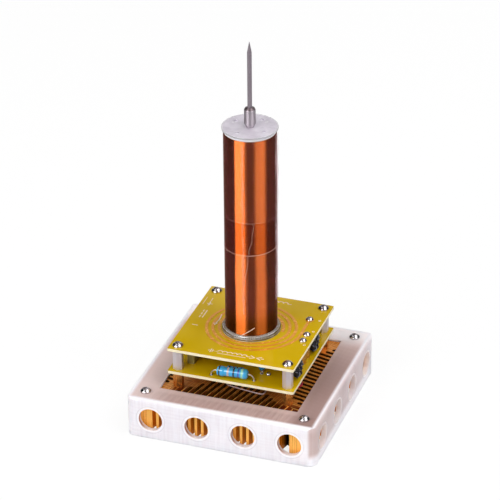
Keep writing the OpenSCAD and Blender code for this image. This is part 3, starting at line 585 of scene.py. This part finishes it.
def turned_steel():
    """Satin steel with upright streaks; painted shade with a reddish painted reflection darkens
    the top where the needle goes in.
    """
    look = Look("holder_steel", srgb(160, 148, 154), 0.5, 0.92, Anisotropic=0.9)
    look.brushed_round()
    streaks = look.noise(900, 3, 0.6, look.stretch((1, 1, 0.02)))
    # painted shade and reflection at the top
    painted_dark_top = look.span(look.z, HOLDER_TOP - 0.0012, HOLDER_TOP - 0.0005, 0.0, 0.7)
    look.put("Base Color", look.mix(painted_dark_top, look.mix(
        streaks, srgb(168, 160, 168), srgb(228, 218, 224)), srgb(92, 66, 68)))
    look.put("Roughness", look.span(streaks, 0.3, 0.7, 0.44, 0.56))
    look.relief(streaks, 0.00003, 0.3)
    return look.mat


# ---------------------------------------------------------------- materials: boards
def yellow_board():
    """Yellow lacquer over a faint glass weave, with pale sawn edges."""
    look = Look("yellow_board", srgb(212, 176, 10), 0.16, 0.0)
    look.put("Specular IOR Level", 0.5)
    face = look.span(look.size(look.parts(look.normal)[2]), 0.5, 0.9)
    cloud = look.noise(45, 3, 0.5)
    weave = look.times(look.wave(look.x, 0.0009), look.wave(look.y, 0.0009))
    mask = look.mix(cloud, srgb(196, 160, 4), srgb(211, 176, 12))
    mask = look.mix(look.times(weave, 0.10), mask, srgb(176, 142, 4))
    plies = look.noise(2600, 2, 0.6, look.stretch((0.15, 0.15, 1)))
    edge = look.mix(plies, srgb(238, 222, 176), srgb(250, 243, 214))
    look.put("Base Color", look.mix(face, edge, mask))
    look.put("Roughness", look.mix(face, 0.55, look.span(cloud, 0.3, 0.7, 0.07, 0.11)))
    look.relief(weave, 0.00001, 0.3)
    look.relief(look.noise(700, 2), 0.00003, 0.15)
    return look.mat


def masked_copper():
    """Copper track under the yellow lacquer of the board."""
    look = Look("masked_copper", srgb(222, 150, 40), 0.22, 0.2)
    tone = look.noise(260, 3, 0.6)
    look.put("Base Color", look.mix(tone, srgb(214, 138, 30), srgb(232, 166, 60)))
    look.put("Roughness", look.span(tone, 0.3, 0.7, 0.18, 0.3))
    look.relief(look.noise(1600, 2), 0.00002, 0.3)
    return look.mat


BLACK, BROWN, VIOLET = srgb(16, 18, 30), srgb(90, 60, 60), srgb(60, 90, 190)
GREY, GREEN = srgb(196, 176, 176), srgb(150, 214, 190)
# place along the body, half width (both in millimetres) and colour of each band
LARGE_BANDS = ((-6.8, 0.32, BLACK), (-2.1, 0.45, GREY), (1.0, 0.4, BLACK),
               (3.6, 0.4, VIOLET), (5.6, 0.5, GREEN))
SMALL_BANDS = ((-3.2, 0.3, BLACK), (-1.0, 0.3, BROWN), (1.0, 0.3, BLACK), (3.2, 0.3, VIOLET))


def resistor_look(name, y, length, bands):
    """Blue lacquer over a body of a length in millimetres, with its bands; tinned leads."""
    look = Look(name, srgb(40, 165, 228), 0.2, Coat_Weight=1.0, Coat_Roughness=0.1)
    along = look.plus(look.times(look.x, math.cos(RESISTOR_TURN)),
                      look.times(look.minus(look.y, y * MM), math.sin(RESISTOR_TURN)))
    color = look.layered(
        look.mix(look.noise(300, 3), srgb(28, 156, 222), srgb(66, 182, 236)),
        *((look.near(along, place * MM, half * MM, 0.00012), tint) for place, half, tint in bands))
    end = length / 2 * MM
    lead = look.span(look.size(along), end - 0.00002, end + 0.00008)
    look.put("Base Color", look.mix(lead, color, srgb(214, 206, 198)))
    look.put("Metallic", lead)
    look.put("Roughness", look.mix(lead, 0.16, 0.3))
    look.relief(look.noise(900, 2), 0.00004, 0.25)
    return look.mat


DISC_BODY_Z = (0.0339, 0.0341)


def blue_disc():
    """Blue dipped body; its bare legs are tinned."""
    blue = srgb(24, 132, 200)
    look = Look("blue_disc", blue, 0.2, Coat_Weight=0.5)
    look.put("Base Color", look.mix(look.span(look.z, *DISC_BODY_Z), srgb(214, 208, 204),
                                    look.vary(blue, look.noise(500, 3), 0.15)))
    look.put("Metallic", look.span(look.z, *DISC_BODY_Z, 1.0, 0.0))
    look.relief(look.noise(900, 2), 0.00004, 0.3)
    return look.mat


# ---------------------------------------------------------------- materials: who wears what
# scales of a metal's marks
EVEN, UPRIGHT, CROSSWISE = (1, 1, 1), (1, 1, 0.05), (0.15, 0.15, 1)
PLASTICS = (  # name, colour, roughness, other sockets, nodes
    ("pad_sheet", (206, 204, 198), 0.6, {}, ("insulating_pads",)),
    ("black_moulding", (30, 30, 33), 0.5, {},
     ("power_transistor_left", "power_transistor_right", "driver_chip", "power_inlet")),
    ("cream_case", (150, 136, 76), 0.4, {}, ("film_capacitor",)),
    ("dark_sleeve", (44, 46, 62), 0.3, {}, ("filter_capacitor",)),
    ("choke_core", (26, 26, 34), 0.5, {}, ("choke_core_front", "choke_core_rear")),
    ("choke_wire", (30, 30, 52), 0.16, {"Coat_Weight": 1.0},
     ("choke_winding_front", "choke_winding_rear")),
    ("red_insulation", (168, 22, 62), 0.35, {}, ("red_lead",)),
    ("pale_insulation", (192, 168, 170), 0.3, {}, ("pale_lead",)),
    ("former_plastic", (232, 229, 224), 0.5, {}, ("coil_former",)),
    ("cap_plastic", (236, 234, 240), 0.3, {}, ("top_cap",)),
    ("wire_end", (236, 214, 206), 0.3, {}, ("winding_tail",)),
)
METALS = (  # name, colour, roughness, scale of the marks, metallic, nodes
    ("screw_steel", (196, 190, 192), 0.22, EVEN, 1.0,
     ("rim_screws", "board_screws", "transistor_screws", "holder_screw", "tap_screws")),
    ("standoff_aluminium", (226, 218, 222), 0.34, UPRIGHT, 0.6, ("upper_standoffs",)),
    ("standoff_gold", (220, 156, 78), 0.26, UPRIGHT, 0.85, ("lower_standoffs",)),
    ("needle_steel", (178, 166, 176), 0.34, CROSSWISE, 0.9, ("discharge_needle",)),
    ("tap_brass", (214, 170, 96), 0.28, EVEN, 1.0, ("tap_posts",)),
    ("pin_metal", (220, 218, 218), 0.15, EVEN, 1.0, ("inlet_pin",)),
)


def dress_all():
    """Gives every CAD node its material, except the film's, which film() replaces."""
    for name, tint, rough, sockets, nodes in PLASTICS:
        dress(plain_plastic(name, srgb(*tint), rough, **sockets), *nodes)
    for name, tint, rough, scale, metal, nodes in METALS:
        dress(plain_metal(name, srgb(*tint), rough, scale, metal), *nodes)
    dress(printed_plastic(), "base_housing")
    dress(gold_aluminium(), "heatsink")
    dress(yellow_board(), "driver_board", "primary_board")
    dress(masked_copper(), "primary_spiral")
    dress(blue_disc(), "disc_capacitor")
    dress(resistor_look("large_resistor_look", LARGE_RESISTOR_Y, 17, LARGE_BANDS),
          "large_resistor")
    dress(resistor_look("small_resistor_look", SMALL_RESISTOR_Y, 9.6, SMALL_BANDS),
          "small_resistor")
    dress(enamelled_copper(), "secondary_winding")
    dress(clear_resin(), "foot_collar")
    dress(dull_disc(), "top_disc")
    dress(turned_steel(), "needle_holder")


dress_all()


# ---------------------------------------------------------------- added pieces: film
SHEET, FLAP, LINE, BUBBLE = range(4)  # the materials of the film, by index
SHEET_STEPS, FLAP_STEPS, BUBBLE_STEPS, CREASE_STEPS = 24, 48, 84, 30
LOWER_R, UPPER_R, SEAM_R, CREASE_R, FLAP_R, BUBBLE_R = (
    0.01399, 0.01408, 0.01410, 0.01411, 0.01412, 0.01413)
UPPER_FOOT = FILM_LAP + 0.000007
FLARE, FLARE_HEIGHT = 0.00045, 0.012
FLAP_FOOT, FLAP_LIFT, FLAP_DEG, FLAP_WIDE_DEG = 0.0660, 0.0008, FRONT_DEG + 66, 20
BUBBLE_FOOT, BUBBLE_HEIGHT, BUBBLE_LIFT, BUBBLE_DEG = 0.0615, 0.1000, 0.00012, FRONT_DEG - 16.5
LAP_RIPPLE, LAP_RIPPLE_DEG = 0.0004, 40
# width and height of each line
LAP_LINE, SEAM_LINE = (0.00022, 0.00004), (0.00007, 0.00002)
LONG_CREASE, LOW_CREASE = (0.00012, 0.00003), (0.00010, 0.00003)
RIDGE = 1.6  # the middle of a line stands this much higher than its edges


def levels(foot, height, steps):
    """Steps up a height: the index, the share of the way, and z."""
    return [(k, k / steps, foot + height * k / steps) for k in range(steps + 1)]


def lap_wave(degrees):
    """How far the lower edge of the upper sheet strays from level."""
    return LAP_RIPPLE * math.sin(math.radians(degrees + LAP_RIPPLE_DEG))


def film_line(bm, points, width, lift):
    """An edge or crease that catches the light: a thin low ridge along points of the film."""
    rows = []
    for i, p in enumerate(points):
        run = points[min(i + 1, len(points) - 1)] - points[max(i - 1, 0)]
        out = Vector((p.x, p.y, 0)).normalized()
        side = run.cross(out).normalized() * width / 2
        edge = p + out * lift
        rows.append([edge - side, p + out * lift * RIDGE, edge + side])
    grid_faces(bm, rows, index=LINE)


def film_mesh():
    """All the film as one mesh of open sheets and low ridges."""
    rng = random.Random(7)
    waves = [(rng.uniform(0, 6.28), rng.randint(2, 7), rng.uniform(0.00002, 0.00006))
             for _ in range(5)]

    def bulge(degrees, z):
        a = math.radians(degrees)
        return sum(size * math.sin(k * a + phase + z * 90) for phase, k, size in waves)

    bm = bmesh.new()
    turn = [i * 2 for i in range(181)]
    # a loose lower sheet, flared at its foot, and a tight upper sheet over it
    rows = []
    for _, _, z in levels(FILM_FOOT, FILM_SEAM - FILM_FOOT, SHEET_STEPS):
        flare = FLARE * max(0.0, 1 - (z - FILM_FOOT) / FLARE_HEIGHT) ** 2
        rows.append([polar(LOWER_R + flare + bulge(a, z), a, z) for a in turn])
    grid_faces(bm, rows, index=SHEET)
    rows = []
    for _, share, z in levels(UPPER_FOOT, FILM_TOP - FILM_LAP, SHEET_STEPS):
        rows.append([polar(UPPER_R + bulge(a, z), a, z + lap_wave(a) * (1 - share))
                     for a in turn])
    grid_faces(bm, rows, index=SHEET)
    # the sheet's end stands off as a narrow flap on the right
    rows = []
    for k, share, z in levels(FLAP_FOOT, FILM_TOP - FLAP_FOOT, FLAP_STEPS):
        lift = FLAP_LIFT * (0.35 + 0.65 * share ** 2) * (0.8 + 0.2 * math.sin(k * 0.9))
        rows.append([polar(FLAP_R + lift * t ** 1.5, FLAP_DEG + FLAP_WIDE_DEG * t, z)
                     for t in (0, 0.25, 0.5, 0.75, 1)])
    grid_faces(bm, rows, index=FLAP)
    # a loose bubble of film runs up the front, left of the middle; it narrows after a third
    rows = []
    for k, share, z in levels(BUBBLE_FOOT, BUBBLE_HEIGHT, BUBBLE_STEPS):
        mid = BUBBLE_DEG + 1.2 * math.sin(k * 0.42) - 1.2 * share
        wide = (3.6 + math.sin(k * 0.7 + 1)) * min(1, 0.25 + k / 6) * (1 if k < 30 else 0.75)
        rows.append([polar(BUBBLE_R + BUBBLE_LIFT * (1 - t * t), mid + wide * t, z)
                     for t in (-1, -0.5, 0, 0.5, 1)])
    grid_faces(bm, rows, index=BUBBLE)
    # the edges of the two sheets where they overlap
    ring = range(0, 362, 4)
    film_line(bm, [polar(FLAP_R, a, FILM_LAP + lap_wave(a)) for a in ring], *LAP_LINE)
    film_line(bm, [polar(SEAM_R, a, FILM_SEAM) for a in ring], *SEAM_LINE)
    # a long crease across the overlap, and one below it
    path = [i / CREASE_STEPS for i in range(CREASE_STEPS + 1)]
    film_line(bm, [polar(CREASE_R, FRONT_DEG + 4 - 6 * t + 2.2 * math.sin(t * 5)
                         + 1.2 * math.sin(t * 13), 0.116 - 0.0185 * t) for t in path],
              *LONG_CREASE)
    film_line(bm, [polar(CREASE_R, FRONT_DEG - 9 - 4 * t + 3 * math.sin(t * 4 + 1),
                         0.0965 - 0.020 * t) for t in path], *LOW_CREASE)
    return bm


def film_looks():
    """The materials of the film, in the order of their indices."""
    sheet = Look("clear_film", srgb(176, 66, 104), 0.1)
    # a faint mauve painted sheen over the coil, weaker where the two sheets overlap and gone at
    # the foot
    painted_sheen = sheet.span(sheet.noise(90, 3, 0.5, sheet.stretch((1, 1, 0.2))),
                      0.35, 0.7, 0.035, 0.065)
    twice = sheet.near(sheet.z, (FILM_LAP + FILM_SEAM) / 2, (FILM_SEAM - FILM_LAP) / 2, 0.0002)
    painted_sheen = sheet.times(painted_sheen, sheet.scaled(twice, -0.55, 1.0))
    sheet.put("Alpha", sheet.times(painted_sheen, sheet.span(sheet.z, 0.054, 0.068)))

    # the raised end is a pale, half-clear painted sheen
    flap = Look("film_flap", srgb(222, 186, 192), 0.12)
    flap.put("Alpha", flap.span(flap.noise(240, 3, 0.6, flap.stretch((1, 1, 0.15))),
                                0.35, 0.65, 0.16, 0.6))

    # the edges and creases are pale painted highlights
    line = Look("film_edge", srgb(232, 190, 176), 0.2)
    line.put("Alpha", line.span(line.noise(120, 3, 0.6), 0.35, 0.65, 0.5, 0.95))

    # the bubble shows a pale painted reflection in a narrow upright stripe
    bubble = Look("film_bubble", srgb(250, 184, 156), 0.2)
    a = math.radians(VIEW_DEG - 17)
    beside = bubble.scaled(bubble.x, math.cos(a), bubble.times(bubble.y, math.sin(a)))
    painted_reflection = bubble.span(bubble.noise(110, 2, 0.5, bubble.stretch((1, 1, 0.3))),
                        0.3, 0.65, 0.16, 0.4)
    bubble.put("Alpha", bubble.times(painted_reflection, bubble.near(beside, 0.0, 0.0003, 0.0008),
                                     bubble.span(bubble.z, 0.090, 0.100, 1.0, 0.7)))
    return [look.mat for look in (sheet, flap, line, bubble)]


def film():
    """The clear film, with its overlap, raised end, bubble and creases, in place of the CAD's."""
    obj = piece("film_sheets", film_mesh(), film_looks(), smooth=True)
    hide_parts("clear_film")


# ---------------------------------------------------------------- added pieces: printed signs
# places and widths in this section are in millimetres, heights in metres
BOLD, FINE, HAIR, THIN = 0.5, 0.4, 0.3, 0.28
INK_THICK, OVER_TRACK = 0.00003, 0.00015
HUMP_R, HUMP_STEPS = 1.35, 8
TAP_RINGS, TAP_RING_R = ((32.6, 17.5), (32.8, 5.6), (32.6, -9.1)), 0.55


def stroke(bm, points, width=BOLD, z=PRIMARY_TOP):
    """A flat raised ribbon along points of a plane."""
    pts = [Vector((x, y)) * MM for x, y in points]
    rows = []
    for i, p in enumerate(pts):
        behind = (p - pts[i - 1]).normalized() if i else (pts[1] - p).normalized()
        ahead = (pts[i + 1] - p).normalized() if i + 1 < len(pts) else behind
        mean = (ahead + behind).normalized()
        side = Vector((-mean.y, mean.x)) * width * MM / 2 / max(0.5, mean.dot(ahead))
        a, b = p + side, p - side
        top = z + INK_THICK
        rows.append([(a.x, a.y, z), (a.x, a.y, top), (b.x, b.y, top), (b.x, b.y, z)])
    grid_faces(bm, rows)


def humps(x, y, count):
    """Points of a row of half circles, the usual sign for a coil."""
    out = []
    for k in range(count):
        for i in range(1 if k else 0, HUMP_STEPS + 1):
            a = math.pi * (1 - i / HUMP_STEPS)
            out.append((x + HUMP_R * (2 * k + 1) + HUMP_R * math.cos(a),
                        y + HUMP_R * math.sin(a)))
    return out


def silkscreen():
    """Generic circuit signs in place of lettering."""
    bm = bmesh.new()
    # front: earth, coil, spark gap
    y = -29.6
    for x, half in ((-12.4, 1.7), (-11.4, 1.1), (-13.4, 0.5)):
        stroke(bm, [(x, y + half), (x, y - half)])
    stroke(bm, [(-11.4, y), (-8.6, y)] + [(px - 0.01, py) for px, py in humps(-8.6, y, 6)]
           + [(9.6, y)])
    stroke(bm, [(-8.4, y - 1.5), (7.4, y - 1.5)], FINE)
    for back, tip in ((9.4, 11.9), (15.6, 13.1)):
        stroke(bm, [(back, y + 1.5), (tip, y), (back, y - 1.5)])
    stroke(bm, [(15.4, y), (17.0, y)])
    # left: polarity and direct current
    x = -29.4
    stroke(bm, [(x - 1.6, 16.4), (x + 1.6, 16.4)])
    stroke(bm, [(x, 14.8), (x, 18.0)])
    stroke(bm, [(x - 1.6, -7.2), (x + 1.6, -7.2)])
    stroke(bm, [(x + 1.1, 1.2), (x + 1.1, 9.4)])
    for low, high in ((1.2, 3.2), (4.3, 6.3), (7.4, 9.4)):
        stroke(bm, [(x - 0.6, low), (x - 0.6, high)])
    for x, low, high in ((-33.0, 14.9, 22.8), (-29.8, 14.2, 22.7)):
        stroke(bm, [(x, low), (x, high)], HAIR)
    # back: a second coil sign, half hidden by the coil
    y = 29.2
    stroke(bm, [(-12.6, y), (-10.8, y)] + humps(-10.8, y, 8) + [(12.8, y)])
    # a turn arrow on the spiral, and rings by the taps
    over = PRIMARY_TOP + OVER_TRACK
    stroke(bm, [(-19.4 + 0.6 * math.sin(math.pi * t / 8), 7.3 - 10 * t / 8) for t in range(9)],
           BOLD, over)
    stroke(bm, [(-20.6, -2.2), (-19.4, -4.0), (-18.4, -2.0)], FINE, over)
    around = [math.pi * i / 5 for i in range(11)]
    for x, y in TAP_RINGS:
        stroke(bm, [(x + TAP_RING_R * math.cos(a), y + TAP_RING_R * math.sin(a))
                    for a in around], THIN)
    look = Look("legend_ink", srgb(240, 216, 196), 0.5)
    tone_mix = look.noise(900, 3, 0.6)
    look.put("Base Color", look.mix(tone_mix, srgb(244, 226, 208), srgb(226, 198, 170)))
    look.relief(tone_mix, 0.00001, 0.3)
    piece("legend_marks", bm, [look.mat])


# ---------------------------------------------------------------- added pieces: solder
# places and sizes in this section are in millimetres
LARGE_REACH, SMALL_REACH = 11.68, 6.6
DISC_LEGS = [(13.02, -21.97), (13.02, -19.47)]
BIG_BEAD_PLACE = (17.1, -22.1)
TRANSISTOR_X, LEG_PITCH, LEGS_Y = 9, 2.54, 11.0
OTHER_JOINTS = [(-19.5, -14.0), (-17.0, -14.0), (24.5, -13.5), (24.5, -16.0)]
# radius and height of each bead
PAD, LEG_BEAD, JOINT_BEAD, BIG_BEAD = (1.15, 0.05), (0.8, 0.45), (0.85, 0.75), (1.35, 1.4)


def dome(bm, place, radius, height, sides=16, ring_highlights=5):
    """A round bead on the driver board."""
    x, y = place
    foot = Vector((0, 0, DRIVER_TOP))
    rows = []
    for k in range(ring_highlights):
        a = math.pi / 2 * k / ring_highlights
        r, h = radius * math.cos(a), height * math.sin(a)
        turn = [2 * math.pi * i / sides for i in range(sides)]
        rows.append([Vector((x + r * math.cos(t), y + r * math.sin(t), h)) * MM + foot
                     for t in turn])
    last = grid_faces(bm, rows, closed=True)[-1]
    tip = bm.verts.new(Vector((x, y, height)) * MM + foot)
    for i in range(sides):
        bm.faces.new((last[i], last[(i + 1) % sides], tip))


def solder():
    """Joints on the driver board, each on its own round pad."""
    ct, st = math.cos(RESISTOR_TURN), math.sin(RESISTOR_TURN)
    feet = [(s * reach * ct, y + s * reach * st)
            for reach, y in ((LARGE_REACH, LARGE_RESISTOR_Y), (SMALL_REACH, SMALL_RESISTOR_Y))
            for s in (-1, 1)] + DISC_LEGS
    legs = [(s * TRANSISTOR_X + d, LEGS_Y) for s in (-1, 1) for d in (-LEG_PITCH, 0, LEG_PITCH)]
    joints = [BIG_BEAD_PLACE] + legs + OTHER_JOINTS
    bm = bmesh.new()
    for place in feet + joints:
        dome(bm, place, *PAD, 20, 2)
    for place in feet:
        dome(bm, place, *LEG_BEAD)
    for place in joints:
        dome(bm, place, *JOINT_BEAD)
    dome(bm, BIG_BEAD_PLACE, *BIG_BEAD)
    tin = plain_metal("solder", srgb(214, 210, 212), 0.2, amount=0.15)
    piece("solder_joints", bm, [tin], smooth=True)


film()
silkscreen()
solder()


# ---------------------------------------------------------------- studio
LAMP_DISTANCE, LAMP_AIM_Z = 2.2, 0.05
FLOOR_HALF, SEEN_SHARE, GLOSS_DIM = 8, 0.86, 0.65
# the room's wall: rise of the view from which and to which it darkens, and its two levels
ROOM = (0.1, 0.32, 1.0, 0.2)
LAMPS = (  # name, azimuth, lowest and highest elevation in degrees, width, radiance
    ("key", -30, 23, 46, 1.5, 5.6),
    ("key_edge", -25, 23, 46, 1.95, 1.0),
    ("fill", 65.5, 18, 58, 1.36, 1.1),
    ("fill_edge", 66.5, 18, 58, 1.9, 0.75),
    ("middle", 19, 23, 46, 2.44, 0.3),
    ("front_low", -25, 1, 13, 2.4, 0.5),
    ("back", 199, 10, 29, 2.6, 1.3),
    ("overhead", 112, 47, 80, 2.4, 3.1),
    ("left_high", -80, 55, 82, 2.0, 1.2),
)


def floor():
    """A white floor: it keeps the shadow, and the camera and gloss see it nearly white."""
    look = Look("floor_white", srgb(250, 250, 250), 0.8)
    look.put("Specular IOR Level", 0.0)
    path = look.add("ShaderNodeLightPath").outputs
    glossy = path["Is Glossy Ray"]
    direct = look.most(path["Is Camera Ray"], path["Is Transmission Ray"])
    glow = look.add("ShaderNodeEmission")
    look.feed(glow.inputs["Strength"], look.scaled(glossy, -GLOSS_DIM, 1.0))
    both = look.add("ShaderNodeMixShader")
    look.feed(both.inputs[0], look.times(look.most(direct, glossy), SEEN_SHARE))
    look.feed(both.inputs[1], look.bsdf.outputs[0])
    look.feed(both.inputs[2], glow.outputs[0])
    look.feed(look.tree.nodes["Material Output"].inputs[0], both.outputs[0])
    bm = bmesh.new()
    bmesh.ops.create_grid(bm, x_segments=1, y_segments=1, size=FLOOR_HALF)
    data = bpy.data.meshes.new("floor")
    bm.to_mesh(data)
    bm.free()
    data.materials.append(look.mat)
    add_object("floor", data)


def softbox(name, azimuth, low, high, width, radiance):
    """An area lamp aimed at the coil; radiance is what its surface shows."""
    back = toward(math.radians(azimuth), math.radians((low + high) / 2))
    height = 2 * LAMP_DISTANCE * math.tan(math.radians((high - low) / 2))
    data = bpy.data.lights.new(name, "AREA")
    data.shape, data.size, data.size_y = "RECTANGLE", width, height
    data.energy = radiance * math.pi * width * height
    obj = add_object(name, data)
    obj.rotation_mode = "QUATERNION"
    obj.rotation_quaternion = back.to_track_quat("Z", "Y")
    obj.location = Vector((0, 0, LAMP_AIM_Z)) + back * LAMP_DISTANCE


def room():
    """A plain room: pale near the horizon, darker above."""
    world = bpy.data.worlds.new("studio")
    world.use_nodes = True
    tree = world.node_tree
    coord = tree.nodes.new("ShaderNodeTexCoord")
    parts = tree.nodes.new("ShaderNodeSeparateXYZ")
    level = tree.nodes.new("ShaderNodeMapRange")
    level.interpolation_type = "SMOOTHSTEP"
    for socket, value in zip(level.inputs[1:], ROOM):
        socket.default_value = value
    tree.links.new(coord.outputs["Generated"], parts.inputs[0])
    tree.links.new(parts.outputs[2], level.inputs[0])
    tree.links.new(level.outputs[0], tree.nodes["Background"].inputs[1])
    bpy.context.scene.world = world


floor()
for lamp in LAMPS:
    softbox(*lamp)
room()
bpy.context.scene.view_settings.view_transform = "Standard"
